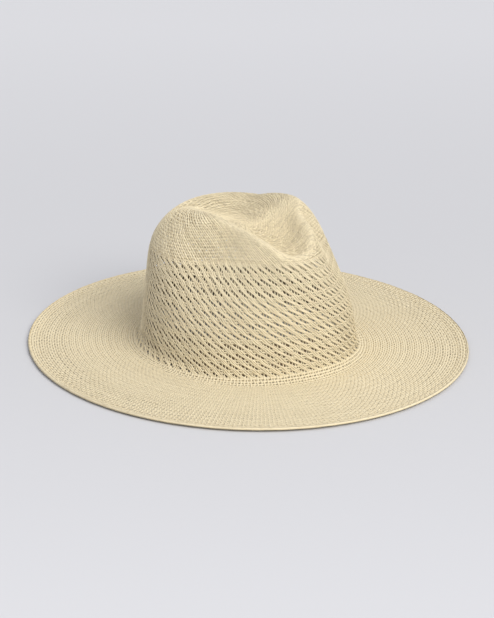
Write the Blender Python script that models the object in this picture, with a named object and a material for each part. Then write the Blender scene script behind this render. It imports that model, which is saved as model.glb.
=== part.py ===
"""A wide-brimmed straw hat with a teardrop crown, pinched at the front.

The woven body is one weave on a real hat. Each zone of it is its own solid here: the close-woven tip of the
crown, the openwork wall, the close-woven base, the brim and the turned hem. A wire lies inside the hem, and
a ribbon sweatband with a blank tab is sewn inside the head opening.

Frame: +Z up, the front of the hat towards -Y, origin under the middle of the brim, on the surface that the
brim rests on. All values are in metres unless a name says otherwise.
"""

from math import cos, pi, radians, sin, tan

import bmesh
import bpy
import numpy as np
from mathutils import Matrix, Vector

# Driving dimensions of the brim
BRIM_LENGTH = 0.396
BRIM_BREADTH = 0.370
CLOTH = 0.0010
BRIM_TOP = 0.0023
HEM_WIDTH = 0.0095
HEM_HEIGHT = 0.0037
LEAF_SHORTER = 0.001
HEM_SEAM_INSET = 0.0075

# Driving dimensions of the crown's outer surface
CROWN_LENGTH = 0.208
CROWN_BREADTH = 0.179
CROWN_SHIFT_Y = -0.002
DOME_HEIGHT = 0.1300
DOME_TILT = 0.11
SHOULDER_START = 0.068
SHOULDER_POWER = 2.5
WALL_SHARE = 0.45
LEAN_FRONT = radians(6.0)
LEAN_BACK = radians(5.0)
LEAN_SIDE = radians(6.2)
FILLET = 0.009

# The teardrop crease, as values at stations along Y: its floor, its half breadth and the height of its rim
CREASE_FLOOR = [
    (-0.100, 0.124), (-0.083, 0.101), (-0.055, 0.095), (0.000, 0.104), (0.045, 0.108), (0.085, 0.150),
]
CREASE_HALF_BREADTH = [
    (-0.100, 0.004), (-0.065, 0.022), (-0.027, 0.037), (0.000, 0.041), (0.050, 0.035), (0.085, 0.031),
]
CREASE_RIM = [(-0.100, 0.098), (-0.065, 0.114), (-0.027, 0.127), (0.020, 0.121), (0.085, 0.107)]
CREASE_POWER = 2.0
LEAST_CREASE_RISE = 0.006
RIM_ROUNDING = 0.018

# The two pinches at the front, placed by angle from the front and by height
PINCH_DEPTH = 0.027
PINCH_ANGLE = radians(53.0)
PINCH_SPREAD = radians(33.0)
PINCH_HEIGHT = 0.110
PINCH_ABOVE = 0.030
PINCH_BELOW = 0.046

# Where the zones of the weave meet, as shares of the way up the crown
BASE_END = 0.100
WALL_END = 0.603
TIP_END = 0.985
FILLET_END = WALL_SHARE * FILLET / SHOULDER_START

# Trim
WIRE_RADIUS = 0.0004
JOINER_RADIUS = 0.0005
JOINER_LENGTH = 0.010
WIRE_INSET = 0.0020
SWEATBAND_HEIGHT = 0.032
SWEATBAND_THICKNESS = 0.0009
THREAD = 0.0005
SWEATBAND_LIFT = 0.001
SEAM_HEIGHT = 0.005
LABEL_WIDTH = 0.022
LABEL_HEIGHT = 0.014
LABEL_THICKNESS = 0.0006
LABEL_MARGIN = 0.003


# Clearance between neighbouring solids, the number of sides of every ring, and the step for slopes
GAP = 0.0003
SIDES = 72
SMALL_STEP = 1e-4

# Rows of facets up each zone
FILLET_ROWS = 5
BASE_ROWS = 3
WALL_ROWS = 9
FOLD_ROWS = 5
TIP_ROWS = 17
SWEATBAND_ROWS = 4

# Where the sweatband starts and ends, as shares of the way up the crown, and how deep its inner face lies
SWEATBAND_LOW = WALL_SHARE * SWEATBAND_LIFT / SHOULDER_START
SWEATBAND_HIGH = SWEATBAND_LOW + WALL_SHARE * SWEATBAND_HEIGHT / SHOULDER_START
SWEATBAND_FACE = CLOTH + GAP + SWEATBAND_THICKNESS

STRAW = (0.74, 0.63, 0.42)
RIBBON = (0.70, 0.61, 0.45)
THREAD_COLOUR = (0.78, 0.70, 0.52)
STEEL = (0.55, 0.55, 0.56)
LABEL_COLOUR = (0.86, 0.84, 0.78)


def clear_scene():
    for old in list(bpy.data.objects):
        bpy.data.objects.remove(old, do_unlink=True)


def material(name, colour, roughness, metallic=0.0):
    made = bpy.data.materials.new(name)
    made.use_nodes = True
    shader = made.node_tree.nodes["Principled BSDF"]
    shader.inputs["Base Color"].default_value = (*colour, 1.0)
    shader.inputs["Roughness"].default_value = roughness
    shader.inputs["Metallic"].default_value = metallic
    return made


def add_object(name, body, surface_material):
    """Turns a bmesh into a smooth-shaded object with one material, its faces pointing out."""
    bmesh.ops.recalc_face_normals(body, faces=body.faces)
    mesh = bpy.data.meshes.new(name)
    body.to_mesh(mesh)
    body.free()
    mesh.materials.append(surface_material)
    mesh.shade_smooth()
    mesh.set_sharp_from_angle(angle=radians(40.0))
    made = bpy.data.objects.new(name, mesh)
    bpy.context.scene.collection.objects.link(made)
    return made


def through(stations, y):
    """A smooth curve through (y, value) stations: cubic between them, straight beyond the ends."""
    at, value = np.array(stations).T
    slope = np.gradient(value, at)
    index = np.clip(np.searchsorted(at, y) - 1, 0, len(at) - 2)
    span = at[index + 1] - at[index]
    t = np.clip((y - at[index]) / span, 0.0, 1.0)
    inside = (
        (2 * t**3 - 3 * t**2 + 1) * value[index]
        + (t**3 - 2 * t**2 + t) * span * slope[index]
        + (3 * t**2 - 2 * t**3) * value[index + 1]
        + (t**3 - t**2) * span * slope[index + 1]
    )
    beyond = np.minimum(y - at[0], 0.0) * slope[0] + np.maximum(y - at[-1], 0.0) * slope[-1]
    return inside + beyond


def crown_point(angle, share):
    """The crown's outer surface. angle goes round from the front, share from the brim (0) to the top (1)."""
    turn = np.clip((share - WALL_SHARE) / (1.0 - WALL_SHARE), 0.0, 1.0) * pi / 2
    reach = np.maximum(np.cos(turn), 0.0) ** (2 / SHOULDER_POWER)
    climb = np.maximum(np.sin(turn), 0.0) ** (2 / SHOULDER_POWER)
    level = np.minimum(share / WALL_SHARE, 1.0) * SHOULDER_START + (DOME_HEIGHT - SHOULDER_START) * climb
    towards_front = 0.5 + 0.5 * np.cos(angle)
    lean = tan(LEAN_FRONT) * towards_front + tan(LEAN_BACK) * (1.0 - towards_front)
    x = (CROWN_BREADTH / 2 - level * tan(LEAN_SIDE)) * reach * np.sin(angle)
    y = CROWN_SHIFT_Y - (CROWN_LENGTH / 2 - level * lean) * reach * np.cos(angle)
    z = level - DOME_TILT * y * climb

    off_front = np.arctan2(np.sin(angle), np.cos(angle))
    above = z - PINCH_HEIGHT
    across = sum(np.exp(-(((off_front - side * PINCH_ANGLE) / PINCH_SPREAD) ** 2)) for side in (-1, 1))
    along = np.exp(-((above / np.where(above > 0.0, PINCH_ABOVE, PINCH_BELOW)) ** 2))
    from_axis = np.hypot(x, y - CROWN_SHIFT_Y) + 1e-9
    pinch = PINCH_DEPTH * across * along * reach / from_axis
    x = x * (1.0 - pinch)
    y = y - pinch * (y - CROWN_SHIFT_Y)

    floor = through(CREASE_FLOOR, y)
    rise = np.maximum(through(CREASE_RIM, y) - floor, LEAST_CREASE_RISE)
    crease = floor + rise * (np.abs(x) / through(CREASE_HALF_BREADTH, y)) ** CREASE_POWER
    near = np.maximum(RIM_ROUNDING - np.abs(z - crease), 0.0) / RIM_ROUNDING
    return np.array([x, y, np.minimum(z, crease) - near**2 * RIM_ROUNDING / 4])


ANGLES = np.arange(SIDES) * 2 * pi / SIDES


def crown_ring(share, inward=0.0):
    """One course round the crown, inward of the outer face, lifted so that the crown starts on the brim."""
    ring = crown_point(ANGLES, np.full(SIDES, share)).T
    ring[:, 2] += BRIM_TOP
    return ring - inward * crown_normals(share)


def crown_normals(share):
    """Outward normals along one course, from small steps along the surface."""
    here = np.full(SIDES, share)
    around = crown_point(ANGLES + SMALL_STEP, here) - crown_point(ANGLES - SMALL_STEP, here)
    upward = crown_point(ANGLES, here + SMALL_STEP) - crown_point(ANGLES, here - SMALL_STEP)
    normal = np.cross(around.T, upward.T)
    return normal / np.linalg.norm(normal, axis=1)[:, None]


def half_gap(share):
    """How far to move a course, as a share, so that it moves by half a GAP everywhere at least."""
    moved = np.linalg.norm(crown_ring(share + SMALL_STEP) - crown_ring(share), axis=1)
    return SMALL_STEP * GAP / 2 / moved.min()


def oval_ring(half_length, half_breadth, z):
    return np.stack([half_breadth * np.sin(ANGLES), -half_length * np.cos(ANGLES), np.full(SIDES, z)], axis=1)


def crown_faces(shares, *depths):
    """The same courses at each of the depths, as one list of rings for each depth."""
    return [[crown_ring(share, depth) for share in shares] for depth in depths]


def crown_spokes():
    """Level unit vectors out of the crown's foot, one for each side."""
    spoke = crown_ring(FILLET_END) - [0.0, CROWN_SHIFT_Y, BRIM_TOP + FILLET]
    return spoke / np.linalg.norm(spoke, axis=1)[:, None]


def flare_ring(turn, inward=0.0):
    """A course of the fillet where the crown turns out into the brim: turn 0 is level, pi / 2 is upright."""
    spoke = crown_spokes()
    ring = crown_ring(FILLET_END) + spoke * FILLET * (1.0 - sin(turn))
    ring[:, 2] = BRIM_TOP + FILLET * (1.0 - cos(turn))
    return ring - inward * (spoke * sin(turn) + np.array([0.0, 0.0, cos(turn)]))


def skin(body, loops, closed=False):
    """Joins successive loops of vertices with quads. closed also joins the last loop to the first."""
    made = [[body.verts.new(point) for point in loop] for loop in loops]
    pairs = list(zip(made, made[1:] + made[:1]))
    for lower, upper in pairs if closed else pairs[:-1]:
        for i in range(len(lower)):
            j = (i + 1) % len(lower)
            body.faces.new((lower[i], lower[j], upper[j], upper[i]))
    return made


def cloth_band(name, outer, inner, surface_material):
    """A closed solid ring of cloth between two faces, each given as rings in the same order."""
    body = bmesh.new()
    skin(body, outer + inner[::-1], closed=True)
    return add_object(name, body, surface_material)


def cloth_cap(name, outer, inner, surface_material):
    """As cloth_band, but closed over the top: the last ring of each face is gathered to one point."""
    body = bmesh.new()
    loops = skin(body, inner[::-1] + outer)
    for loop, points in ((loops[0], inner[-1]), (loops[-1], outer[-1])):
        middle = body.verts.new(np.mean(points, axis=0))
        for i in range(SIDES):
            body.faces.new((loop[i], loop[(i + 1) % SIDES], middle))
    return add_object(name, body, surface_material)


def swept_profile(name, profile, surface_material):
    """A closed profile of (inset from the brim's edge, z), carried round the brim's oval."""
    rings = [oval_ring(BRIM_LENGTH / 2 - inset, BRIM_BREADTH / 2 - inset, z) for inset, z in profile]
    body = bmesh.new()
    skin(body, rings, closed=True)
    return add_object(name, body, surface_material)


def add_thread_ring(name, ring, normals, surface_material):
    """One line of thread along a closed ring of points, GAP off the face that the normals point out of."""
    ahead = np.roll(ring, -1, axis=0) - np.roll(ring, 1, axis=0)
    across = np.cross(normals, ahead)
    across *= THREAD / 2 / np.linalg.norm(across, axis=1)[:, None]
    near = ring + normals * GAP
    far = near + normals * THREAD
    body = bmesh.new()
    skin(body, [near - across, far - across, far + across, near + across], closed=True)
    return add_object(name, body, surface_material)


def add_frame_loop(name, centre, along, upward, facing, width, height, surface_material):
    """One line of thread laid as a rectangle, facing out of a flat tab."""
    corners = np.array([(-1, -1), (1, -1), (1, 1), (-1, 1)])
    loops = []
    for inset, lift in ((0.0, 0.0), (0.0, THREAD), (THREAD, THREAD), (THREAD, 0.0)):
        half = [width / 2 - inset, height / 2 - inset]
        flat = corners * half
        loops.append(centre + flat[:, :1] * along + flat[:, 1:] * upward + facing * lift)
    body = bmesh.new()
    skin(body, loops, closed=True)
    return add_object(name, body, surface_material)


def make_crown(straw):
    low, high = half_gap(BASE_END), half_gap(WALL_END)
    turns = np.linspace(0.0, pi / 2, FILLET_ROWS)[:-1]
    foot = [[flare_ring(turn, depth) for turn in turns] for depth in (0.0, CLOTH)]
    base = crown_faces(np.linspace(FILLET_END, BASE_END - low, BASE_ROWS), 0.0, CLOTH)
    wall = crown_faces(np.linspace(BASE_END + low, WALL_END - high, WALL_ROWS), 0.0, CLOTH)
    tip = crown_faces(np.linspace(WALL_END + high, TIP_END, TIP_ROWS), 0.0, CLOTH)
    cloth_band("crown_base", foot[0] + base[0], foot[1] + base[1], straw)
    cloth_band("crown_wall", *wall, straw)
    cloth_cap("crown_tip", *tip, straw)


def make_brim(straw):
    inner = flare_ring(0.0) + crown_spokes() * GAP
    edge = HEM_WIDTH + GAP
    outer = oval_ring(BRIM_LENGTH / 2 - edge, BRIM_BREADTH / 2 - edge, BRIM_TOP)
    top = [outer, (inner + outer) / 2, inner]
    cloth_band("brim", top, [ring - [0.0, 0.0, CLOTH] for ring in top], straw)


def make_hem(straw):
    """The edge of the brim turned under: a top leaf, a round fold that holds the wire, and a lower leaf."""
    fold = HEM_HEIGHT / 2
    inside = fold - CLOTH
    leaf_end = HEM_WIDTH - LEAF_SHORTER
    turns = np.linspace(pi / 2, -pi / 2, FOLD_ROWS)
    profile = [(HEM_WIDTH, BRIM_TOP)]
    profile += [(fold * (1.0 - cos(turn)), fold + fold * sin(turn)) for turn in turns]
    profile += [(leaf_end, 0.0), (leaf_end, CLOTH)]
    profile += [(fold - inside * cos(turn), fold + inside * sin(turn)) for turn in turns[::-1]]
    profile += [(HEM_WIDTH, BRIM_TOP - CLOTH)]
    swept_profile("brim_hem", profile, straw)


def make_hem_stitching(thread):
    """A line of thread on the top leaf of the hem, which slopes down from the fold to the brim."""
    slope = (HEM_HEIGHT - BRIM_TOP) / (HEM_WIDTH - HEM_HEIGHT / 2)
    height = HEM_HEIGHT - slope * (HEM_SEAM_INSET - HEM_HEIGHT / 2)
    ring = oval_ring(BRIM_LENGTH / 2 - HEM_SEAM_INSET, BRIM_BREADTH / 2 - HEM_SEAM_INSET, height)
    up = np.tile([0.0, 0.0, 1.0], (SIDES, 1))
    add_thread_ring("hem_stitching", ring, up, thread)


def make_wire(steel, sleeve):
    """The hem wire, open at the back, where the joiner's length lies between its two ends."""
    half_length = BRIM_LENGTH / 2 - WIRE_INSET
    half_breadth = BRIM_BREADTH / 2 - WIRE_INSET
    cut = (JOINER_LENGTH / 2 + GAP) / half_breadth
    z = HEM_HEIGHT / 2
    curve = bpy.data.curves.new("brim_wire", "CURVE")
    curve.dimensions = "3D"
    curve.bevel_depth = WIRE_RADIUS
    curve.bevel_resolution = 1
    curve.use_fill_caps = True
    spline = curve.splines.new("POLY")
    bends = np.linspace(cut, 2 * pi - cut, SIDES + 1)
    spline.points.add(len(bends) - 1)
    for point, bend in zip(spline.points, bends):
        point.co = (half_breadth * sin(bend), half_length * cos(bend), z, 1.0)
    curve.materials.append(steel)
    bpy.context.scene.collection.objects.link(bpy.data.objects.new("brim_wire", curve))

    body = bmesh.new()
    place = Matrix.Translation((0.0, half_length, z)) @ Matrix.Rotation(pi / 2, 4, "Y")
    bmesh.ops.create_cone(
        body, cap_ends=True, segments=12, radius1=JOINER_RADIUS, radius2=JOINER_RADIUS,
        depth=JOINER_LENGTH, matrix=place,
    )
    add_object("wire_joiner", body, sleeve)


def make_sweatband(ribbon):
    shares = np.linspace(SWEATBAND_LOW, SWEATBAND_HIGH, SWEATBAND_ROWS)
    cloth_band("sweatband", *crown_faces(shares, CLOTH + GAP, SWEATBAND_FACE), ribbon)


def make_sweatband_stitching(thread):
    seam = SWEATBAND_LOW + WALL_SHARE * SEAM_HEIGHT / SHOULDER_START
    add_thread_ring("sweatband_stitching", crown_ring(seam, SWEATBAND_FACE), -crown_normals(seam), thread)


def make_label(woven, thread):
    """A blank tab on the sweatband's inner face at the back, with one line of thread round its edge."""
    back = SIDES // 2
    share = (SWEATBAND_LOW + SWEATBAND_HIGH) / 2
    low = crown_ring(share - SMALL_STEP, SWEATBAND_FACE)[back]
    high = crown_ring(share + SMALL_STEP, SWEATBAND_FACE)[back]
    facing = -crown_normals(share)[back]
    upward = (high - low) / np.linalg.norm(high - low)
    along = np.cross(upward, facing)
    curve_of_band = LABEL_WIDTH**2 / 4 / CROWN_BREADTH
    behind = (low + high) / 2 + facing * (GAP + curve_of_band)
    middle = behind + facing * LABEL_THICKNESS / 2
    turn = Matrix((Vector(along), Vector(upward), Vector(facing))).transposed().to_4x4()
    size = Matrix.Diagonal((LABEL_WIDTH, LABEL_HEIGHT, LABEL_THICKNESS, 1.0))
    body = bmesh.new()
    bmesh.ops.create_cube(body, size=1.0, matrix=Matrix.Translation(middle) @ turn @ size)
    add_object("size_label", body, woven)
    front = behind + facing * (LABEL_THICKNESS + GAP)
    width, height = LABEL_WIDTH - LABEL_MARGIN, LABEL_HEIGHT - LABEL_MARGIN
    add_frame_loop("label_stitching", front, along, upward, facing, width, height, thread)


def main():
    clear_scene()
    make_crown(material("crown_straw", STRAW, 0.75))
    make_brim(material("brim_straw", STRAW, 0.75))
    make_hem(material("hem_straw", STRAW, 0.75))
    make_hem_stitching(material("hem_thread", THREAD_COLOUR, 0.6))
    make_wire(material("wire_steel", STEEL, 0.35, 1.0), material("sleeve_steel", STEEL, 0.45, 1.0))
    make_sweatband(material("ribbon", RIBBON, 0.85))
    make_sweatband_stitching(material("band_thread", THREAD_COLOUR, 0.6))
    make_label(material("label", LABEL_COLOUR, 0.8), material("label_thread", THREAD_COLOUR, 0.6))


main()
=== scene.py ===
"""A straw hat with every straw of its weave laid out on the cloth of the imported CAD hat.

The frame is the CAD hat: metres, +Z up, the front of the crown towards -Y, the brim lying on z = 0.
"""

from math import cos, pi, radians, sin, tan

import bpy
import numpy as np
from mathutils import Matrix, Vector


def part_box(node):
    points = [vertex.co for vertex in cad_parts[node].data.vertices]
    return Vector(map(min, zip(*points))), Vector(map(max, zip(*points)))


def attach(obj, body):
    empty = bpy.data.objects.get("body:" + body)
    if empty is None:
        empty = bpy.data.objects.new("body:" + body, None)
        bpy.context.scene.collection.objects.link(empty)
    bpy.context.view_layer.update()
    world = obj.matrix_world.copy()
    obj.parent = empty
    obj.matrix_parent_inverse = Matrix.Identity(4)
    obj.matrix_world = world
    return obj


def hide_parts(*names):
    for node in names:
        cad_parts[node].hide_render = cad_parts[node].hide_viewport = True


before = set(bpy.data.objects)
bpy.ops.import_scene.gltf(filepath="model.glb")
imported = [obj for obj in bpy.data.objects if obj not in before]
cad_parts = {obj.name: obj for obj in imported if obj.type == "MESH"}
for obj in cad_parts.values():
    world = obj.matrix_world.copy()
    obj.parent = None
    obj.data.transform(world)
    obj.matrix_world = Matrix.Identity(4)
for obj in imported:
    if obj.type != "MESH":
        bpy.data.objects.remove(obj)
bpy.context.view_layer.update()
RANDOM = np.random.default_rng(7)

# The brim, from the CAD nodes
HEM_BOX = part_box("brim_hem")
BRIM_BREADTH, BRIM_LENGTH, HEM_HEIGHT = HEM_BOX[1] - HEM_BOX[0]
BRIM_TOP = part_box("brim")[1].z
HEM_WIDTH = 0.0095
FOLD_RADIUS = 0.0012
LEAF_SHORTER = 0.001

# The crown's outer surface, with the same shape as the CAD source
CROWN_LENGTH = 0.208
CROWN_BREADTH = 0.179
CROWN_SHIFT_Y = -0.002
DOME_HEIGHT = 0.1300
DOME_TILT = 0.11
SHOULDER_START = 0.068
SHOULDER_POWER = 2.5
WALL_SHARE = 0.45
LEAN_FRONT = radians(6.0)
LEAN_BACK = radians(5.0)
LEAN_SIDE = radians(6.2)
FILLET = 0.009
# The crease, as (y, value) stations
CREASE_FLOOR = [
    (-0.100, 0.124), (-0.083, 0.101), (-0.055, 0.095), (0.000, 0.104), (0.045, 0.108), (0.085, 0.150),
]
CREASE_HALF_BREADTH = [
    (-0.100, 0.004), (-0.065, 0.022), (-0.027, 0.037), (0.000, 0.041), (0.050, 0.035), (0.085, 0.031),
]
CREASE_RIM = [(-0.100, 0.098), (-0.065, 0.114), (-0.027, 0.127), (0.020, 0.121), (0.085, 0.107)]
CREASE_POWER = 2.0
LEAST_CREASE_RISE = 0.006
RIM_ROUNDING = 0.018
PINCH_DEPTH = 0.027
PINCH_ANGLE = radians(53.0)
PINCH_SPREAD = radians(33.0)
PINCH_HEIGHT = 0.110
PINCH_ABOVE = 0.030
PINCH_BELOW = 0.046
FILLET_END = WALL_SHARE * FILLET / SHOULDER_START

# The weave. A course is one weft, and the stakes run from the top of the crown out to the edge of the brim
STAKES = 216
BRIM_STAKES = 324
COURSE = 0.0021
CLOTH_DEPTH = 0.0006
# The courses hang lower at the sides and the back of the crown than at its front. The sag fades in and
# out at these distances down from the top
COURSE_SAG = 0.0084
COURSE_SAG_RATE = 2.2
SAG_AT = [0.030, 0.088, 0.179, 0.245]
SAG_SHARE = [0.0, 1.0, 1.0, 0.0]
# Where the zones of the weave meet, as distances down from the top
WALL_TOP = 0.0875
WALL_BOTTOM = 0.1790
BASE_BOTTOM = 0.1840

# The table of the cloth: angles round it, and stations along each of its stretches
TABLE_ANGLES = 720
CROWN_STATIONS = 901
FLARE_STATIONS = 31
BRIM_STATIONS = 161
TOP_LEAF_STATIONS = 17
FOLD_STATIONS = 25
LOWER_LEAF_STATIONS = 13
NORMAL_SMOOTHING = 4
MIDDLE_STATIONS = slice(1, 8)

# The strands. No piece of them holds more than this many triangles. The export thins
# out a mesh of over 200,000 triangles
MOST_TRIANGLES = 190000
TONE_WANDER = 0.15
NOISE_DIVISOR = 1.9
LEAST_STAKE_WIDTH = 0.0005
MOST_STAKE_WIDTH = 0.0028
STAKE_WANDER = 0.05
STAKE_WIDTH_SPREAD = 0.05
WEFT_WANDER = 0.00006
WEFT_WIDTH_SPREAD = 0.03

# The camera
AIM = Vector((0.0, 0.0, 0.0285))
CAMERA_AZIMUTH = radians(-30.0)
CAMERA_ELEVATION = radians(20.5)
CAMERA_DISTANCE = 1.7
CAMERA_LENS = 115.9


def through(stations, y):
    """A smooth curve through (y, value) stations: cubic between them, straight beyond the ends."""
    at, value = np.array(stations).T
    slope = np.gradient(value, at)
    index = np.clip(np.searchsorted(at, y) - 1, 0, len(at) - 2)
    span = at[index + 1] - at[index]
    t = np.clip((y - at[index]) / span, 0.0, 1.0)
    inside = (
        (2 * t**3 - 3 * t**2 + 1) * value[index]
        + (t**3 - 2 * t**2 + t) * span * slope[index]
        + (3 * t**2 - 2 * t**3) * value[index + 1]
        + (t**3 - t**2) * span * slope[index + 1]
    )
    beyond = np.minimum(y - at[0], 0.0) * slope[0] + np.maximum(y - at[-1], 0.0) * slope[-1]
    return inside + beyond


def crown_point(angle, share):
    """The crown's outer surface: angle from the front, share 0 at the brim and 1 at the top."""
    turn = np.clip((share - WALL_SHARE) / (1.0 - WALL_SHARE), 0.0, 1.0) * pi / 2
    reach = np.maximum(np.cos(turn), 0.0) ** (2 / SHOULDER_POWER)
    climb = np.maximum(np.sin(turn), 0.0) ** (2 / SHOULDER_POWER)
    level = np.minimum(share / WALL_SHARE, 1.0) * SHOULDER_START + (DOME_HEIGHT - SHOULDER_START) * climb
    towards_front = 0.5 + 0.5 * np.cos(angle)
    lean = tan(LEAN_FRONT) * towards_front + tan(LEAN_BACK) * (1.0 - towards_front)
    x = (CROWN_BREADTH / 2 - level * tan(LEAN_SIDE)) * reach * np.sin(angle)
    y = CROWN_SHIFT_Y - (CROWN_LENGTH / 2 - level * lean) * reach * np.cos(angle)
    z = level - DOME_TILT * y * climb

    off_front = np.arctan2(np.sin(angle), np.cos(angle))
    above = z - PINCH_HEIGHT
    across = sum(np.exp(-(((off_front - side * PINCH_ANGLE) / PINCH_SPREAD) ** 2)) for side in (-1, 1))
    along = np.exp(-((above / np.where(above > 0.0, PINCH_ABOVE, PINCH_BELOW)) ** 2))
    from_axis = np.hypot(x, y - CROWN_SHIFT_Y) + 1e-9
    pinch = PINCH_DEPTH * across * along * reach / from_axis
    x = x * (1.0 - pinch)
    y = y - pinch * (y - CROWN_SHIFT_Y)

    floor = through(CREASE_FLOOR, y)
    rise = np.maximum(through(CREASE_RIM, y) - floor, LEAST_CREASE_RISE)
    crease = floor + rise * (np.abs(x) / through(CREASE_HALF_BREADTH, y)) ** CREASE_POWER
    near = np.maximum(RIM_ROUNDING - np.abs(z - crease), 0.0) / RIM_ROUNDING
    z = np.minimum(z, crease) - near**2 * RIM_ROUNDING / 4
    return np.stack([x, y, z + BRIM_TOP], axis=-1)


def crown_inside(angle, z, depth):
    """Points this deep inside the crown's outer surface, at these heights, and the normals into the hat."""
    share = (z - BRIM_TOP) * WALL_SHARE / SHOULDER_START
    step = 1e-4
    around = crown_point(angle + step, share) - crown_point(angle - step, share)
    upward = crown_point(angle, share + step) - crown_point(angle, share - step)
    inward = np.cross(upward, around)
    inward /= np.linalg.norm(inward, axis=-1, keepdims=True)
    return crown_point(angle, share) + inward * np.asarray(depth)[..., None], inward


def oval(angle, inset, z):
    """Points on the brim's oval, inset from its edge."""
    x = (BRIM_BREADTH / 2 - inset) * np.sin(angle)
    y = -(BRIM_LENGTH / 2 - inset) * np.cos(angle)
    return np.stack([x, y, z + 0.0 * angle], axis=-1)


class Cloth:
    """The middle of the cloth as a table: angle round the hat by distance down from the top of the crown."""

    def __init__(self):
        # The crown, down to where its foot turns out, and the flare of the foot
        angle = np.arange(TABLE_ANGLES)[:, None] * 2 * pi / TABLE_ANGLES
        top = 1.0 - FILLET_END
        crown = crown_point(angle, 1.0 - top * np.linspace(0.0, 1.0, CROWN_STATIONS)[None, :])
        foot = crown[:, -1:]
        spoke = foot - [0.0, CROWN_SHIFT_Y, foot[0, 0, 2]]
        spoke /= np.linalg.norm(spoke, axis=-1, keepdims=True)
        turn = np.linspace(pi / 2, 0.0, FLARE_STATIONS)[None, 1:, None]
        flare = foot + spoke * FILLET * (1.0 - np.sin(turn))
        flare[..., 2] = BRIM_TOP + FILLET * (1.0 - np.cos(turn[..., 0]))

        # The hem's fold and lower leaf, as insets from the edge and heights
        fold = FOLD_RADIUS
        bend = np.linspace(pi / 2, -pi / 2, FOLD_STATIONS)
        inwards = np.linspace(fold, HEM_WIDTH - LEAF_SHORTER, LOWER_LEAF_STATIONS)[1:]
        insets = np.concatenate([fold * (1.0 - np.cos(bend)), inwards])
        under = HEM_HEIGHT - 2 * fold
        lower_leaf = np.linspace(under, 0.0, LOWER_LEAF_STATIONS)[1:]
        heights = np.concatenate([under + fold + fold * np.sin(bend), lower_leaf])
        hem = oval(angle, insets[None, :], heights[None, :])

        # The brim from the flare to the hem, and the hem's top leaf, both straight
        hem_start = oval(angle, HEM_WIDTH, BRIM_TOP)
        across = np.linspace(0.0, 1.0, BRIM_STATIONS)[None, 1:, None]
        brim = flare[:, -1:] + (hem_start - flare[:, -1:]) * across
        across = np.linspace(0.0, 1.0, TOP_LEAF_STATIONS)[None, 1:-1, None]
        top_leaf = hem_start + (hem[:, :1] - hem_start) * across
        outer = np.concatenate([crown, flare, brim, top_leaf, hem], axis=1)

        def distance(points):
            step = np.linalg.norm(np.diff(points, axis=1), axis=2).mean(axis=0)
            return np.concatenate([[0.0], np.cumsum(step)])

        self.down = distance(outer)
        self.normals = self.facing(outer)
        self.points = outer - self.normals * CLOTH_DEPTH
        ends = np.cumsum([crown.shape[1] + flare.shape[1] + brim.shape[1], top_leaf.shape[1]]) - 1
        self.hem_start, self.fold_start = self.down[ends]
        self.end = self.down[-1]

    def facing(self, points):
        """Unit normals out of the hat, one for the whole middle of the crown, smoothed along the cloth."""
        around = np.roll(points, -1, axis=0) - np.roll(points, 1, axis=0)
        downward = np.gradient(points, axis=1)
        normals = np.cross(downward, around)
        normals /= np.linalg.norm(normals, axis=-1, keepdims=True) + 1e-12
        normals[:, 0] = normals[:, MIDDLE_STATIONS].mean(axis=(0, 1))
        for _ in range(NORMAL_SMOOTHING):
            normals[:, 1:-1] = (normals[:, :-2] + 2 * normals[:, 1:-1] + normals[:, 2:]) / 4
        return normals / np.linalg.norm(normals, axis=-1, keepdims=True)

    def woven_at(self, angle, down, height):
        """As at, on courses that sag from the front of the hat to its back."""
        sag = 1.0 - np.exp(-COURSE_SAG_RATE * (1.0 - np.cos(angle)))
        return self.at(angle, down + COURSE_SAG * sag * np.interp(down, SAG_AT, SAG_SHARE), height)

    def at(self, angle, down, height):
        """Points and normals of the cloth at these angles and distances, raised by height."""
        turn = (angle / (2 * pi) % 1.0) * TABLE_ANGLES
        left = np.floor(turn).astype(int) % TABLE_ANGLES
        right = (left + 1) % TABLE_ANGLES
        row = np.clip(np.searchsorted(self.down, down) - 1, 0, len(self.down) - 2)
        s = (turn % 1.0)[..., None]
        t = ((down - self.down[row]) / (self.down[row + 1] - self.down[row]))[..., None]

        def blend(table):
            above = table[left, row] * (1 - s) + table[right, row] * s
            below = table[left, row + 1] * (1 - s) + table[right, row + 1] * s
            return above * (1 - t) + below * t

        normal = blend(self.normals)
        normal /= np.linalg.norm(normal, axis=-1, keepdims=True)
        return blend(self.points) + normal * np.asarray(height)[..., None], normal


CLOTH = Cloth()


def ragged(shape, size, smooth):
    """Random numbers about 0 along strands, smoothed along each strand.

    The sum of three neighbours is divided by less than 3, so that smoothing leaves the noise strong.
    """
    noise = RANDOM.normal(0.0, size, shape)
    for _ in range(smooth):
        noise[:, 1:-1] = (noise[:, :-2] + noise[:, 1:-1] + noise[:, 2:]) / NOISE_DIVISOR
    return noise


def add_mesh(name, verts, quads, material, tone=None):
    """An object of these quads, smooth, with a tone for each vertex if it is of straw."""
    mesh = bpy.data.meshes.new(name)
    mesh.vertices.add(len(verts))
    mesh.vertices.foreach_set("co", verts.astype(np.float32).ravel())
    mesh.loops.add(len(quads) * 4)
    mesh.loops.foreach_set("vertex_index", quads.astype(np.int32).ravel())
    mesh.polygons.add(len(quads))
    mesh.polygons.foreach_set("loop_start", np.arange(0, len(quads) * 4, 4, dtype=np.int32))
    if tone is not None:
        mesh.attributes.new("tone", "FLOAT", "POINT").data.foreach_set("value", tone.astype(np.float32))
    mesh.update(calc_edges=True)
    mesh.shade_smooth()
    mesh.materials.append(material)
    piece = bpy.data.objects.new(name, mesh)
    bpy.context.scene.collection.objects.link(piece)
    return piece


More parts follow.
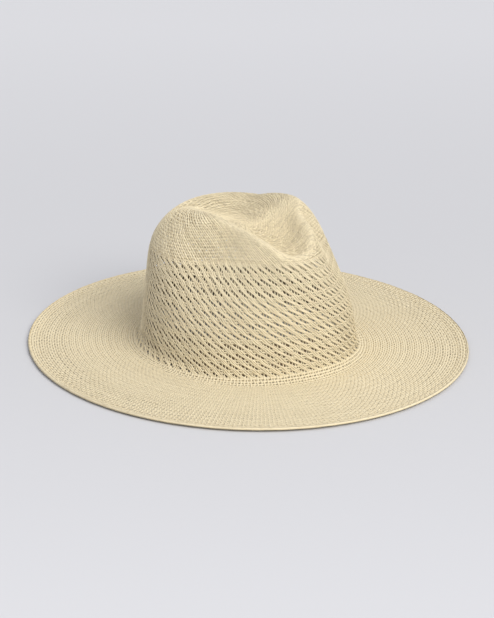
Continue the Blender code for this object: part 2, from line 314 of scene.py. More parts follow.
def add_strands(name, points, normals, width, depth, closed, material, corners=4, variety=0.6):
    """Flat straws, a row of points each, whose section has its depth along the normals.

    They make as many pieces as keep each under MOST_TRIANGLES. variety is how far their tones differ.
    """
    count, steps = points.shape[:2]
    if closed:
        along = np.roll(points, -1, axis=1) - np.roll(points, 1, axis=1)
    else:
        along = np.gradient(points, axis=1)
    along /= np.linalg.norm(along, axis=-1, keepdims=True) + 1e-12
    side = np.cross(normals, along)
    side /= np.linalg.norm(side, axis=-1, keepdims=True) + 1e-12
    up = np.cross(along, side)
    bend = np.arange(corners) * 2 * pi / corners
    width = np.broadcast_to(width, (count, steps))[:, :, None, None] / 2
    depth = np.broadcast_to(depth, (count, steps))[:, :, None, None] / 2
    across = side[:, :, None, :] * np.cos(bend)[None, None, :, None] * width
    upward = up[:, :, None, :] * np.sin(bend)[None, None, :, None] * depth
    verts = points[:, :, None, :] + across + upward
    shade = RANDOM.uniform(-0.5, 0.5, (count, 1)) + ragged((count, steps), TONE_WANDER, smooth=3)
    tone = np.repeat(0.5 + variety * shade, corners, axis=1)

    parts = int(np.ceil(count * steps * corners * 2 / MOST_TRIANGLES))
    pieces = []
    for part, kept in enumerate(np.array_split(np.arange(count), parts)):
        ring = np.arange(len(kept) * steps).reshape(len(kept), steps)
        first, second = (ring, np.roll(ring, -1, axis=1)) if closed else (ring[:, :-1], ring[:, 1:])
        first, second = first.reshape(-1, 1) * corners, second.reshape(-1, 1) * corners
        corner = np.arange(corners)[None, :]
        following = (corner + 1) % corners
        sides = np.stack([first + corner, first + following, second + following, second + corner], axis=-1)
        quads = [sides.reshape(-1, 4)]
        if not closed:
            start, end = ring[:, 0] * corners, ring[:, -1] * corners
            for k in range(0, corners - 2, 2):
                cap = [0, k + 1, k + 2, (k + 3) % corners]
                quads.append(np.stack([start + c for c in cap[::-1]], axis=1))
                quads.append(np.stack([end + c for c in cap], axis=1))
        label = name if parts == 1 else f"{name}_{part + 1}"
        part_verts = verts[kept].reshape(-1, 3)
        pieces.append(add_mesh(label, part_verts, np.vstack(quads), material, tone[kept].ravel()))
    return pieces


def add_patch(name, angle, z, outer, inner, material):
    """A closed sheet on the inside of the crown: a grid of columns by rows, between two depths."""
    columns, rows = angle.shape
    faces = [crown_inside(angle, z, depth)[0] for depth in (outer, inner)]
    grid = np.arange(columns * rows).reshape(columns, rows)
    other = grid + columns * rows
    quads = [
        np.stack([grid[:-1, :-1], grid[1:, :-1], grid[1:, 1:], grid[:-1, 1:]], axis=-1).reshape(-1, 4),
        np.stack([other[:-1, :-1], other[:-1, 1:], other[1:, 1:], other[1:, :-1]], axis=-1).reshape(-1, 4),
    ]
    rim = np.concatenate([grid[:, 0], grid[-1, 1:], grid[-2::-1, -1], grid[0, -2:0:-1]])
    ahead = np.roll(rim, -1)
    quads.append(np.stack([ahead, rim, rim + columns * rows, ahead + columns * rows], axis=1))
    return add_mesh(name, np.concatenate([f.reshape(-1, 3) for f in faces]), np.vstack(quads), material)


# ---- materials -----------------------------------------------------------------------------------
PATCH_SCALE = 35.0
PATCH_WEIGHT = 0.12
GRAIN_WEIGHT = 0.25
LEAST_TONE = 0.10
UNTONED = 0.22
RAMP_ENDS = (0.15, 0.85)
BUMP_STRENGTH = 0.25
BUMP_DISTANCE = 0.0001


def surface_nodes(name, light, dark, grain, roughness, toned=0.0, metallic=0.0, specular=0.35):
    """A node material: a ramp between two colours driven by grain, large patches and each strand's tone."""
    material = bpy.data.materials.new(name)
    material.use_nodes = True
    nodes, links = material.node_tree.nodes, material.node_tree.links
    shader = nodes["Principled BSDF"]
    shader.inputs["Roughness"].default_value = roughness
    shader.inputs["Metallic"].default_value = metallic
    shader.inputs["Specular IOR Level"].default_value = specular
    place = nodes.new("ShaderNodeTexCoord")

    def noise(scale, detail):
        texture = nodes.new("ShaderNodeTexNoise")
        texture.inputs["Scale"].default_value = scale
        texture.inputs["Detail"].default_value = detail
        links.new(place.outputs["Object"], texture.inputs["Vector"])
        return texture.outputs["Fac"]

    def weigh(value, weight, rest):
        node = nodes.new("ShaderNodeMath")
        node.operation = "MULTIPLY_ADD"
        links.new(value, node.inputs[0])
        node.inputs[1].default_value = weight
        if isinstance(rest, float):
            node.inputs[2].default_value = rest
        else:
            links.new(rest, node.inputs[2])
        return node.outputs["Value"]

    grains = noise(grain, 3.0)
    rest = LEAST_TONE + UNTONED * (1.0 - toned)
    mixed = weigh(noise(PATCH_SCALE, 2.0), PATCH_WEIGHT, weigh(grains, GRAIN_WEIGHT, rest))
    if toned:
        tone = nodes.new("ShaderNodeAttribute")
        tone.attribute_name = "tone"
        mixed = weigh(tone.outputs["Fac"], toned, mixed)
    ramp = nodes.new("ShaderNodeValToRGB")
    for element, position, colour in zip(ramp.color_ramp.elements, RAMP_ENDS, (dark, light)):
        element.position = position
        element.color = (*colour, 1.0)
    links.new(mixed, ramp.inputs["Fac"])
    links.new(ramp.outputs["Color"], shader.inputs["Base Color"])
    raised = nodes.new("ShaderNodeBump")
    raised.inputs["Strength"].default_value = BUMP_STRENGTH
    raised.inputs["Distance"].default_value = BUMP_DISTANCE
    links.new(grains, raised.inputs["Height"])
    links.new(raised.outputs["Normal"], shader.inputs["Normal"])
    return material


STRAW = surface_nodes("straw", (0.84, 0.733, 0.503), (0.60, 0.503, 0.325), 900.0, 0.80, toned=0.55)
RIBBON = surface_nodes("grosgrain", (0.23, 0.165, 0.10), (0.15, 0.105, 0.06), 1500.0, 0.75)
THREAD = surface_nodes("cotton thread", (0.84, 0.77, 0.60), (0.66, 0.58, 0.42), 2500.0, 0.85)
LABEL = surface_nodes("woven tab", (0.88, 0.86, 0.80), (0.74, 0.72, 0.66), 2000.0, 0.85)
STEEL = surface_nodes(
    "steel", (0.62, 0.62, 0.63), (0.42, 0.42, 0.43), 700.0, 0.35, metallic=1.0, specular=0.5
)

# ---- weaving -------------------------------------------------------------------------------------
# Where the two added stakes of a group start, as shares of the group
ADDED_PAIR = (0.46, 0.54)


def stake_turns(count, inner_count, spread):
    """Angles of count stakes: even at spread 0, and at 1 as inner_count stakes with the added ones between.

    Two stakes are added to every four, or to every two.
    """
    if inner_count == count:
        return np.broadcast_to((np.arange(count) + 0.5)[:, None] / count, (count, len(spread))) * 2 * pi
    group = 6 if inner_count * 3 == count * 2 else 4
    kept = [0, 1, 4, 5] if group == 6 else [0, 3]
    added = [m for m in range(group) if m not in kept]
    member = np.arange(count) % group
    even = (member + 0.5) / group
    packed = np.full(count, 0.5)
    for place, m in enumerate(kept):
        packed[member == m] = (place + 0.5) / len(kept)
    for place, m in zip(ADDED_PAIR, added):
        packed[member == m] = place
    share = even[:, None] * (1 - spread) + packed[:, None] * spread
    return (np.arange(count)[:, None] // group + share) / (count / group) * 2 * pi


def woven_band(
    name, count, inner_count, wefts, start, end, spread_over,
    lift, stake_fill, weft_width, depth, variety,
    proud=0.0, slant=0.0, spiral=0.0, dip=None, twill=False,
):
    """Stakes from start to end, and one weft round the hat at each of the given distances.

    The weave is plain, or a twill, where each stake passes over two wefts and under the third, one weft
    further on than its neighbour. Near the start, over spread_over, the stakes open out from inner_count
    to count. slant leans the steps between wefts by this share of a stake's room. spiral is how far the
    stakes run round the hat for each step out from its middle, so that they read as small backslashes.
    lift is how far a strand rises or sinks where two cross, proud raises every stake, and dip gives the
    height of the cloth at a distance. stake_fill is a stake's width as a share of its room.
    """
    wefts = np.asarray(wefts)
    between = (wefts[:-1] + wefts[1:]) / 2
    down = np.sort(np.concatenate([wefts, between, [start, end]]))
    order = np.searchsorted(wefts, down - 1e-9)
    on_weft = np.isclose(down, wefts[np.clip(order, 0, len(wefts) - 1)])
    spread = np.clip(1.0 - (down - start) / max(spread_over, 1e-9), 0.0, 1.0)
    spread = spread * spread * (3 - 2 * spread)

    def stake_over(stake, weft):
        """1 where the stake passes over the weft and -1 where it passes under."""
        return np.where((stake - weft) % 3 == 0, -1, 1) if twill else 1 - 2 * ((stake + weft) % 2)

    parity = stake_over(np.arange(count)[:, None], order[None, :])
    height = np.where(on_weft[None, :], lift * parity, 0.0)
    height[:, 0] = height[:, -1] = -lift
    height = height + proud
    if dip is not None:
        height = height + dip(down)[None, :]
    leaning = np.where(on_weft[None, :], 0.0, -parity) * slant * 2 * pi / count
    turns = stake_turns(count, inner_count, spread) + leaning + spiral * np.log(down / WALL_TOP)[None, :]
    turns = turns + ragged(turns.shape, STAKE_WANDER, smooth=2) * 2 * pi / count
    points, normals = CLOTH.woven_at(turns, np.broadcast_to(down, turns.shape), height)
    gap = np.linalg.norm(np.roll(points, -1, axis=0) - points, axis=-1)
    room = (gap + np.roll(gap, 1, axis=0)) / 2
    across = room / np.hypot(1.0, spiral)
    width = np.clip(across * stake_fill, LEAST_STAKE_WIDTH, MOST_STAKE_WIDTH)
    width = width * (1 + RANDOM.normal(0, STAKE_WIDTH_SPREAD, (count, 1)))
    pieces = add_strands(name + "_stakes", points, normals, width, depth, False, STRAW, variety=variety)

    at_stake = turns[:, np.searchsorted(down, wefts - 1e-9)].T
    following = np.roll(at_stake, -1, axis=1)
    following[:, -1] += 2 * pi
    angle = np.stack([at_stake, (at_stake + following) / 2], axis=-1).reshape(len(wefts), -1)
    row = np.arange(len(wefts))[:, None]
    over = -lift * stake_over(np.arange(count)[None, :], row)
    height = np.stack([over, np.zeros_like(over)], axis=-1).reshape(len(wefts), -1)
    if dip is not None:
        height = height + dip(wefts)[:, None]
    wander = ragged(angle.shape, WEFT_WANDER, smooth=3)
    points, normals = CLOTH.woven_at(angle, wefts[:, None] + wander, height)
    width = weft_width * (1 + ragged(angle.shape, WEFT_WIDTH_SPREAD, smooth=2))
    return pieces + add_strands(name + "_wefts", points, normals, width, depth, True, STRAW, variety=variety)


def keep(pieces, node):
    """Puts the pieces in the frame, in place of a CAD node, which it hides."""
    for piece in pieces:
        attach(piece, "root")
        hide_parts(node)


def courses(start, end, pitch):
    """Distances of the courses that fill a band evenly."""
    count = max(1, round((end - start) / pitch))
    return start + (np.arange(count) + 0.5) * (end - start) / count


# ---- crown tip -----------------------------------------------------------------------------------
TIP_PITCH = 0.0023
TIP_DEPTH = 0.0006
START_STRAWS = 8
START_PITCH = 0.0013
START_LIFT = 0.0002
# How far a band's stakes run on under the next, and over what distance they open out
BAND_OVERLAP = 0.0010
SPREAD_OVER = 0.006
# Where each band of the tip starts, its stakes, and the stakes inside it
TIP_STEPS = [(0.0050, 32, 32), (0.0150, 64, 32), (0.027, 96, 64), (0.041, 144, 96), (0.060, 216, 144)]


def crown_start():
    """The square of straws that the crown's weave starts from."""
    place = (np.arange(START_STRAWS) - (START_STRAWS - 1) / 2) * START_PITCH
    along = np.linspace(-0.5, 0.5, 2 * START_STRAWS + 1) * (START_STRAWS + 1) * START_PITCH
    straw, step = np.meshgrid(place, along, indexing="ij")
    crossing = np.cos(pi * (step / START_PITCH + 0.5 * (START_STRAWS + 1) + 0.5))
    lift = START_LIFT * crossing * (-1.0) ** np.arange(START_STRAWS)[:, None]
    pieces = []
    for name, x, y, height in (("across", step, straw, lift), ("along", straw, step, -lift)):
        sidewise = x * 2 / (1 + CROWN_LENGTH / CROWN_BREADTH) * CROWN_LENGTH / CROWN_BREADTH
        points, normals = CLOTH.at(np.arctan2(sidewise, -y), np.hypot(sidewise, y), height)
        pieces += add_strands("crown_start_" + name, points, normals, START_PITCH, TIP_DEPTH, False, STRAW)
    return pieces


def crown_tip():
    """The close-woven top: the starting square, then bands that each add stakes to the one inside."""
    pieces = crown_start()
    ends = [start for start, _, _ in TIP_STEPS[1:]] + [WALL_TOP]
    for (start, count, inner_count), end in zip(TIP_STEPS, ends):
        pieces += woven_band(
            f"crown_tip_{count}", count, inner_count, courses(start, end, TIP_PITCH),
            start - BAND_OVERLAP, end + BAND_OVERLAP, SPREAD_OVER,
            lift=0.00028, proud=0.00014, spiral=1.2, stake_fill=0.90, weft_width=0.0019, depth=TIP_DEPTH,
            variety=0.9, twill=count % 3 == 0,
        )
    return pieces


keep(crown_tip(), "crown_tip")

# ---- openwork wall -------------------------------------------------------------------------------
# The wall repeats every double course: two wefts close together, then a row of long openings. A share
# is a distance down the wall in double courses, and a phase is a share within one
DOUBLE_COURSE = 0.0083
DOUBLES = round((WALL_BOTTOM - WALL_TOP) / DOUBLE_COURSE)
PERIOD = (WALL_BOTTOM - WALL_TOP) / DOUBLES
SPACING = 2 * pi / STAKES
WEFT_PHASES = (0.09, 0.36)
OPEN_MIDDLE = 0.73
OPEN_SHARE = 0.66
OPEN_POWER = 0.6
LEAST_OPEN = 0.42
# The openings close over this much of the last double course
CLOSING = 0.35
# How many stakes along a slanting stake moves in a double course, and how unevenly
DRIFT = 4.0
DRIFT_SWING = 1.2
# Slanting stakes close up in bunches, by this share of their spacing, new at this phase
IN_BUNCH = 3
BUNCH = 0.48
BUNCH_SPREAD = 0.10
BUNCH_LIMITS = (0.25, 0.64)
BUNCH_PHASE = 0.3
# The strands of the wall. A slanting stake sinks under a weft, and at the wall's two ends
SLANTING_STEPS = 10
SLANTING_WIDTH = 0.00162
SLANTING_NARROWING = 0.00062
SLANTING_WIDTH_SPREAD = 0.00006
SLANTING_DEPTH = 0.0005
SLANTING_HEIGHT = 0.00015
SLANTING_RISE = 0.0001
SLANTING_WANDER = 0.04
UNDER_DROP = 0.0005
UNDER_LENGTH = 0.13
END_LENGTH = 0.4
END_DROP = 0.0003
UPRIGHT_STEPS = 5
UPRIGHT_WIDTH = 0.0011
UPRIGHT_DEPTH = 0.0004
UPRIGHT_HEIGHT = -0.0002
UPRIGHT_WANDER = 0.08
WALL_WEFT_WIDTH = 0.0014
WALL_WEFT_DEPTH = 0.0005
WALL_WEFT_LIFT = 0.00025
WALL_WEFT_WANDER = 0.00010


def drift_at(share):
    """How many stakes a slanting stake has moved along the course, after this many double courses."""
    return DRIFT * share + DRIFT_SWING / (2 * pi) * np.sin(2 * pi * (share - OPEN_MIDDLE))


def from_phase(share, phase):
    """How far a share is from the nearest place at this phase."""
    return np.abs((share - phase + 0.5) % 1.0 - 0.5)


def openness(share):
    """1 in the middle of a row of openings, falling to LEAST_OPEN between two rows."""
    away = from_phase(share, OPEN_MIDDLE)
    return LEAST_OPEN + (1.0 - LEAST_OPEN) * np.cos(pi * np.clip(away / OPEN_SHARE, 0.0, 0.5)) ** OPEN_POWER


def dip_under(share, phase):
    """1 where a weft at this phase crosses, falling to 0 either side."""
    return np.clip(1.0 - from_phase(share, phase) / UNDER_LENGTH, 0.0, 1.0)


def slanting_stakes():
    """The outer stakes, which run down and round the wall in bunches that leave the openings."""
    share = np.arange(DOUBLES * SLANTING_STEPS + 1) / SLANTING_STEPS
    down = WALL_TOP + share * PERIOD
    stake = np.arange(STAKES)
    member = stake % IN_BUNCH - 1
    row = np.floor(share - BUNCH_PHASE).astype(int).clip(0, DOUBLES - 1)
    closing = np.clip((DOUBLES - share) / CLOSING, 0.0, 1.0)
    opened = (openness(share) * closing)[None, :]
    bunch = RANDOM.normal(BUNCH, BUNCH_SPREAD, (STAKES // IN_BUNCH, DOUBLES)).clip(*BUNCH_LIMITS)
    bunch = bunch[stake // IN_BUNCH][:, row]
    turns = (stake[:, None] + drift_at(share)[None, :] - member[:, None] * bunch * opened) * SPACING
    turns = turns + ragged(turns.shape, SLANTING_WANDER, smooth=3) * SPACING
    under = (member == -1)[:, None] * dip_under(share, WEFT_PHASES[0])
    under = under + (member == 1)[:, None] * dip_under(share, WEFT_PHASES[1])
    at_ends = np.clip(np.minimum(share, share[-1] - share) / END_LENGTH, 0.0, 1.0)[None, :]
    height = SLANTING_HEIGHT + SLANTING_RISE * opened - UNDER_DROP * under
    height = (height + END_DROP) * at_ends - END_DROP
    points, normals = CLOTH.woven_at(turns, np.broadcast_to(down, turns.shape), height)
    width = SLANTING_WIDTH - SLANTING_NARROWING * opened
    width = width + RANDOM.normal(0, SLANTING_WIDTH_SPREAD, (STAKES, 1))
    return add_strands("crown_wall_slanting_stakes", points, normals, width, SLANTING_DEPTH, False, STRAW)


def upright_stakes():
    """The inner stakes, which run straight down behind the openings."""
    share = np.arange(DOUBLES * UPRIGHT_STEPS + 1) / UPRIGHT_STEPS
    wander = ragged((STAKES, len(share)), UPRIGHT_WANDER, smooth=3)
    turns = (np.arange(STAKES)[:, None] + 0.5 + 0.0 * share[None, :] + wander) * SPACING
    down = np.broadcast_to(WALL_TOP + share * PERIOD, turns.shape)
    points, normals = CLOTH.woven_at(turns, down, np.full(turns.shape, UPRIGHT_HEIGHT))
    return add_strands(
        "crown_wall_upright_stakes", points, normals, UPRIGHT_WIDTH, UPRIGHT_DEPTH, False, STRAW
    )


def wall_wefts():
    """The wefts in pairs. The first passes over the first stake of each bunch, the second over the last."""
    rows = (np.arange(DOUBLES)[:, None] + np.array(WEFT_PHASES)[None, :]).ravel()
    at_stake = np.arange(STAKES * 2) / 2
    angle = (at_stake[None, :] + drift_at(rows)[:, None]) * SPACING
    over_member = np.tile([0, IN_BUNCH - 1], DOUBLES)[:, None]
    over = (at_stake[None, :] % 1 == 0) & (at_stake[None, :] % IN_BUNCH == over_member)
    height = np.where(over, WALL_WEFT_LIFT, -WALL_WEFT_LIFT)
    down = WALL_TOP + rows[:, None] * PERIOD + ragged(angle.shape, WALL_WEFT_WANDER, smooth=4)
    points, normals = CLOTH.woven_at(angle, down, height)
    return add_strands("crown_wall_wefts", points, normals, WALL_WEFT_WIDTH, WALL_WEFT_DEPTH, True, STRAW)


keep(slanting_stakes() + upright_stakes() + wall_wefts(), "crown_wall")

# ---- base band, brim and hem ---------------------------------------------------------------------
FLAT = dict(stake_fill=0.66, lift=0.00010, slant=0.10, variety=0.25, depth=0.00042)
# The base band starts above the wall's lower end: its wefts by this much, its stakes by a little more
BASE_OVER_WALL = 0.002
# The brim's courses lie in rings of three
PLACES_IN_RING = np.array([0.18, 0.5, 0.82])
RINGS = round((CLOTH.hem_start - BASE_BOTTOM) / (len(PLACES_IN_RING) * COURSE))
RING = (CLOTH.hem_start - BASE_BOTTOM) / RINGS
RING_DIP = 0.00009


def ring_dip(down):
    """The brim's weave sinks a little between one ring of three courses and the next."""
    within = down < CLOTH.hem_start - RING / 2
    return -RING_DIP * within * (0.5 + 0.5 * np.cos(2 * pi * (down - BASE_BOTTOM) / RING)) ** 2


def crown_base():
    """The close-woven band at the foot of the crown."""
    top = WALL_BOTTOM - BASE_OVER_WALL
    return woven_band(
        "crown_base", STAKES, STAKES, courses(top, BASE_BOTTOM, COURSE),
        top - BAND_OVERLAP, BASE_BOTTOM + BAND_OVERLAP, 0.0, weft_width=0.0022, **FLAT,
    )


def brim():
    """The flat brim, whose stakes open out from the crown's to half as many again."""
    rows = (BASE_BOTTOM + np.arange(RINGS)[:, None] * RING + RING * PLACES_IN_RING[None, :]).ravel()
    return woven_band(
        "brim", BRIM_STAKES, STAKES, rows, BASE_BOTTOM - BAND_OVERLAP, CLOTH.hem_start + BAND_OVERLAP,
        SPREAD_OVER, dip=ring_dip, weft_width=0.00212, **FLAT,
    )


def brim_hem():
    """The turned edge: over the top leaf, round the fold and under the lower leaf."""
    return woven_band(
        "brim_hem", BRIM_STAKES, BRIM_STAKES, courses(CLOTH.hem_start, CLOTH.end, COURSE),
        CLOTH.hem_start - BAND_OVERLAP, CLOTH.end, 0.0, weft_width=0.0024, **FLAT,
    )


keep(crown_base(), "crown_base")
keep(brim(), "brim")
keep(brim_hem(), "brim_hem")

# ---- stitches ------------------------------------------------------------------------------------
STITCH_STEPS = 7
STITCH_CORNERS = 6
HEM_THREAD = 0.0004
HEM_STITCHES = 200
HEM_STITCH_FILL = 0.62
HEM_STITCH_HEIGHT = 0.00035
SEAM_INSET = 0.0075


def add_stitches(name, place, thickness):
    """Stitches that dip at their ends. place gives their points and normals at a height."""
    rise = np.sin(np.linspace(0.0, pi, STITCH_STEPS)) ** 0.5 - 0.5
    points, normals = place(rise[None, :] * thickness)
    return add_strands(name, points, normals, thickness, thickness, False, THREAD, corners=STITCH_CORNERS)


def stitch_angles(count, filled):
    """Angles along each of the stitches of a line all the way round the hat."""
    start = np.arange(count)[:, None] * 2 * pi / count
    return start + np.linspace(0.0, filled, STITCH_STEPS)[None, :] * 2 * pi / count


def hem_stitches():
    """The row of stitches near the inner edge of the hem."""
    angles = stitch_angles(HEM_STITCHES, HEM_STITCH_FILL)
    share = (HEM_WIDTH - SEAM_INSET) / (HEM_WIDTH - FOLD_RADIUS)
    down = CLOTH.hem_start + (CLOTH.fold_start - CLOTH.hem_start) * share
    return add_stitches(
        "hem_stitches", lambda rise: CLOTH.at(angles, np.full(angles.shape, down), rise + HEM_STITCH_HEIGHT),
        HEM_THREAD,
    )


keep(hem_stitches(), "hem_stitching")

# ---- sweatband -----------------------------------------------------------------------------------
RIBBON_LOW, RIBBON_HIGH = (corner.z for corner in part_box("sweatband"))
SEAM_Z = sum(corner.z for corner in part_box("sweatband_stitching")) / 2
# Depths are measured in from the outer surface of the crown
SWEATBAND_OUTER = 0.00165
RIBBON_THICKNESS = 0.00055
# Rows of points across the ribbon, closer together near its edges, which are thinner
RIBBON_ROWS = np.array([0.0, 0.04, 0.12, 0.35, 0.65, 0.88, 0.96, 1.0])
EDGE_SHARE = 0.04
EDGE_THINNING = 0.00018
RIB = 0.0010
RIB_STEPS = 4
RIB_DEPTH = 0.00012
# The ribbon's end climbs over its start and lies on it
LAP = 0.013
LAP_CLIMB = 0.020
LAP_GAP = 0.0002
GIRTH_STEPS = 720
BAND_STITCHES = 150
BAND_STITCH_FILL = 0.66
BAND_THREAD = 0.0004


def sweatband_girth():
    """The distance round the head opening along the middle of the ribbon."""
    angles = np.linspace(0.0, 2 * pi, GIRTH_STEPS + 1)
    middle = np.full(GIRTH_STEPS + 1, (RIBBON_LOW + RIBBON_HIGH) / 2)
    ring = crown_inside(angles, middle, SWEATBAND_OUTER)[0]
    return np.linalg.norm(np.diff(ring, axis=0), axis=1).sum()


def sweatband_ribbon(girth):
    """A ribbed ribbon round the inside of the crown, lapped at the back."""
    columns = int((girth + LAP) / RIB) * RIB_STEPS + 1
    travelled = np.linspace(0.0, girth + LAP, columns)
    angle, across = np.meshgrid(pi + travelled / girth * 2 * pi, RIBBON_ROWS, indexing="ij")
    lapped = np.clip((travelled - girth + LAP_CLIMB) / LAP_CLIMB, 0.0, 1.0)
    lapped = (lapped * lapped * (3 - 2 * lapped))[:, None] * (RIBBON_THICKNESS + LAP_GAP)
    rib = RIB_DEPTH * (0.5 + 0.5 * np.cos(2 * pi * np.arange(columns) / RIB_STEPS))[:, None]
    thin = EDGE_THINNING * np.maximum(1.0 - np.minimum(across, 1.0 - across) / EDGE_SHARE, 0.0)
    return add_patch(
        "sweatband_ribbon", angle, RIBBON_LOW + (RIBBON_HIGH - RIBBON_LOW) * across,
        SWEATBAND_OUTER + lapped + thin - 0.5 * rib,
        SWEATBAND_OUTER + lapped + RIBBON_THICKNESS - thin - rib, RIBBON,
    )


def sweatband_stitches():
    """The row of stitches near the lower edge of the ribbon."""
    angles = stitch_angles(BAND_STITCHES, BAND_STITCH_FILL)
    height = np.full(angles.shape, SEAM_Z)
    face = SWEATBAND_OUTER + RIBBON_THICKNESS
    return add_stitches(
        "sweatband_stitches", lambda rise: crown_inside(angles, height, rise + face), BAND_THREAD
    )


girth = sweatband_girth()
sweatband = sweatband_ribbon(girth)
ribbon_stitches = sweatband_stitches()
keep([sweatband], "sweatband")
keep(ribbon_stitches, "sweatband_stitching")

# ---- size tab ------------------------------------------------------------------------------------
LABEL_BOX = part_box("size_label")
LABEL_BREADTH = LABEL_BOX[1].x - LABEL_BOX[0].x
LABEL_HEIGHT = 0.014
LABEL_Z = (LABEL_BOX[0].z + LABEL_BOX[1].z) / 2
LABEL_OUTER = 0.0030
LABEL_THICKNESS = 0.00045
LABEL_INNER = LABEL_OUTER + LABEL_THICKNESS
LABEL_COLUMNS = 45
LABEL_ROWS = 29
LABEL_RIDGE = 0.00005
LABEL_FOLD = 0.00012
LABEL_FOLD_START = 0.9
LABEL_SEAM = 0.0015
LABEL_THREAD = 0.0003
LABEL_STITCH_HEIGHT = 0.0001
LABEL_STITCHES = (9, 5, 9, 5)


def label_grid(u, v):
    """(angle, height) at u across and v up the tab, each from -1 to 1."""
    back_radius = CROWN_BREADTH / 2
    return pi + u * LABEL_BREADTH / 2 / back_radius, LABEL_Z + v * LABEL_HEIGHT / 2


def size_tab_cloth():
    """A blank woven tab with its two ends folded under, which makes them thicker."""
    u, v = np.meshgrid(
        np.linspace(-1, 1, LABEL_COLUMNS), np.linspace(-1, 1, LABEL_ROWS), indexing="ij"
    )
    across, upward = np.cos(pi * np.arange(LABEL_COLUMNS)), np.cos(pi * np.arange(LABEL_ROWS))
    ridges = LABEL_RIDGE * across[:, None] * upward[None, :]
    inner = LABEL_INNER + LABEL_FOLD * (np.abs(u) > LABEL_FOLD_START) + ridges
    return add_patch("size_tab", *label_grid(u, v), LABEL_OUTER + 0.0 * u, inner, LABEL)


def size_tab_stitches():
    """Stitches round the four edges of the tab."""
    corner = np.array([(-1, -1), (1, -1), (1, 1), (-1, 1), (-1, -1)], float)
    corner *= [1 - 2 * LABEL_SEAM / LABEL_BREADTH, 1 - 2 * LABEL_SEAM / LABEL_HEIGHT]
    along = (0.15 + 0.7 * np.linspace(0, 1, STITCH_STEPS))[:, None]
    lines = np.array([
        a + (b - a) * (k + along) / stitches
        for a, b, stitches in zip(corner[:-1], corner[1:], LABEL_STITCHES)
        for k in range(stitches)
    ])
    angle, height = label_grid(lines[..., 0], lines[..., 1])
    depth = LABEL_INNER + LABEL_STITCH_HEIGHT
    return add_stitches(
        "size_tab_stitches", lambda rise: crown_inside(angle, height, rise + depth), LABEL_THREAD
    )


size_tab = size_tab_cloth()
tab_stitches = size_tab_stitches()
keep([size_tab], "size_label")
keep(tab_stitches, "label_stitching")

# ---- hem wire and its joiner, which stay as the CAD has them ---------------------------------------
for node, slot in (("brim_wire", "hem_wire"), ("wire_joiner", "joiner_metal")):
    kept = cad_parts[node]
    kept.data.materials.clear()
    kept.data.materials.append(STEEL)

# ---- camera, light and floor -----------------------------------------------------------------------
RIGHT = Vector((cos(CAMERA_AZIMUTH), sin(CAMERA_AZIMUTH), 0.0))
TOWARDS = Vector((sin(CAMERA_AZIMUTH), -cos(CAMERA_AZIMUTH), 0.0))
UP = Vector((0.0, 0.0, 1.0))
CAMERA_REACH = 50.0
KEY_FROM = RIGHT * 0.70 + TOWARDS * 0.85 + UP * 0.98
KEY_POWER = 2.42
KEY_SOFTNESS = radians(40.0)
KEY_COLOUR = (1.0, 0.98, 0.94)
SKY_COLOUR = (0.932, 0.950, 1.025)
SKY_POWER = 0.65
FLOOR_SIZE = 14.0
FLOOR_ROUGHNESS = 0.9
FLOOR_BLUE = 1.02
# Painted light on the floor, in place of the fall-off of the studio's light: its brightness at distances
# towards the camera from the middle of the hat, darkest a little behind the hat
FLOOR_PAINTED_LIGHT = [(-1.2, 0.65), (-0.35, 0.56), (0.30, 0.65), (0.75, 0.74)]


def aimed(name, data, direction):
    """An object that looks against this direction, as a camera or a lamp placed that way does."""
    placed = bpy.data.objects.new(name, data)
    placed.rotation_mode = "QUATERNION"
    placed.rotation_quaternion = direction.to_track_quat("Z", "Y")
    bpy.context.scene.collection.objects.link(placed)
    return placed


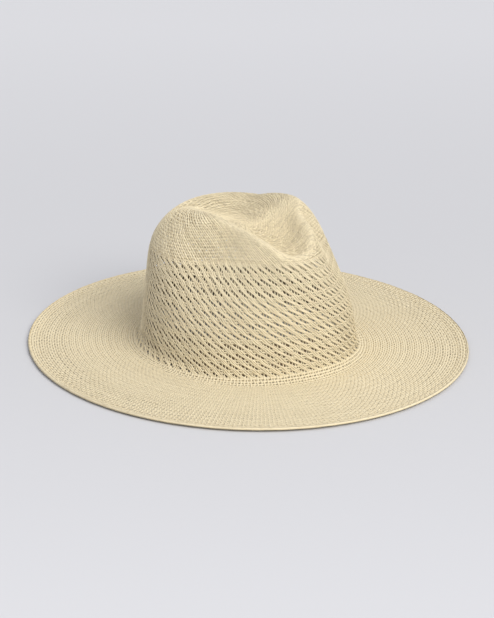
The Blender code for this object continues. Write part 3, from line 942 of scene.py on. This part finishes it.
def add_camera():
    """The camera at the photo's angle, far enough away for the photo's weak perspective."""
    to_camera = TOWARDS * cos(CAMERA_ELEVATION) + UP * sin(CAMERA_ELEVATION)
    camera = aimed("camera", bpy.data.cameras.new("camera"), to_camera)
    camera.data.lens = CAMERA_LENS
    camera.data.clip_end = CAMERA_REACH
    camera.location = AIM + to_camera * CAMERA_DISTANCE
    bpy.context.scene.camera = camera


def add_light():
    """A broad soft key light from the right, and an even pale sky."""
    key = aimed("key", bpy.data.lights.new("key", "SUN"), KEY_FROM)
    key.data.energy = KEY_POWER
    key.data.angle = KEY_SOFTNESS
    key.data.color = KEY_COLOUR
    world = bpy.data.worlds.new("world")
    bpy.context.scene.world = world
    world.use_nodes = True
    world.node_tree.nodes["Background"].inputs["Color"].default_value = (*SKY_COLOUR, 1.0)
    world.node_tree.nodes["Background"].inputs["Strength"].default_value = SKY_POWER
    bpy.context.scene.view_settings.view_transform = "Standard"


def paper():
    """The floor's material: a pale grey with painted light, darker or brighter along the floor as the
    studio's light falls on it.
    """
    material = bpy.data.materials.new("paper")
    material.use_nodes = True
    nodes, links = material.node_tree.nodes, material.node_tree.links
    nodes["Principled BSDF"].inputs["Roughness"].default_value = FLOOR_ROUGHNESS
    place = nodes.new("ShaderNodeTexCoord")
    nearness = nodes.new("ShaderNodeVectorMath")
    nearness.operation = "DOT_PRODUCT"
    nearness.inputs[1].default_value = TOWARDS
    links.new(place.outputs["Object"], nearness.inputs[0])
    first, last = FLOOR_PAINTED_LIGHT[0][0], FLOOR_PAINTED_LIGHT[-1][0]
    scaled = nodes.new("ShaderNodeMapRange")
    scaled.inputs["From Min"].default_value = first
    scaled.inputs["From Max"].default_value = last
    links.new(nearness.outputs["Value"], scaled.inputs["Value"])
    # Painted light: this ramp makes the floor darker a little behind the hat and brighter towards the camera
    tones = nodes.new("ShaderNodeValToRGB")
    tones.color_ramp.interpolation = "B_SPLINE"
    for _ in FLOOR_PAINTED_LIGHT[2:]:
        tones.color_ramp.elements.new(0.5)
    for element, (at, tone) in zip(tones.color_ramp.elements, FLOOR_PAINTED_LIGHT):
        element.position = (at - first) / (last - first)
        element.color = (tone, tone, tone * FLOOR_BLUE, 1.0)
    links.new(scaled.outputs["Result"], tones.inputs["Fac"])
    links.new(tones.outputs["Color"], nodes["Principled BSDF"].inputs["Base Color"])
    return material


add_camera()
add_light()
bpy.ops.mesh.primitive_plane_add(size=FLOOR_SIZE)
floor = bpy.context.object
floor.name = "floor"
floor.data.materials.append(paper())
